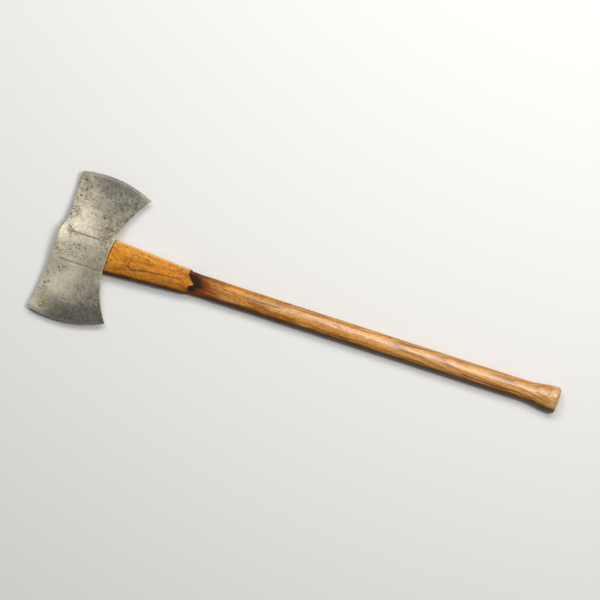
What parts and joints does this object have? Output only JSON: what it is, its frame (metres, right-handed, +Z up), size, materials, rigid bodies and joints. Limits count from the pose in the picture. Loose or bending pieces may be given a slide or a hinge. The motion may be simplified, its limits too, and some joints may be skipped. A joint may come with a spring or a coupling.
{
  "type": "double-bit felling axe",
  "caption": "Antique double-bit felling axe: flat forged head with a curved edge at each end, wedged on a straight hickory handle with a thick shoulder and a swelled knob.",
  "frame": {"origin": "below the middle of the whole axe, on the surface that it lies on", "axes": "The axe lies on a cheek. +X along the handle from the head to the knob, +Y across the head towards the smaller upper bit, +Z up, square to the cheeks."},
  "size_m": [0.9269, 0.2684, 0.031],
  "materials": {
    "head_iron": "aged forged iron, pitted along the top side and round the eye",
    "bit_steel": "ground steel gone dull grey, with a fine honed edge",
    "hickory": "oiled hickory, honey to orange, worn smooth, scorched behind the shoulder",
    "wedge_wood": "dry end grain",
    "wedge_steel": "dark rusted steel"
  },
  "bodies": {
    "root": {"head_body": "head_iron", "upper_bit": "bit_steel", "lower_bit": "bit_steel", "handle": "hickory", "eye_wedge": "wedge_wood", "steel_wedge": "wedge_steel"}
  },
  "joints": []
}
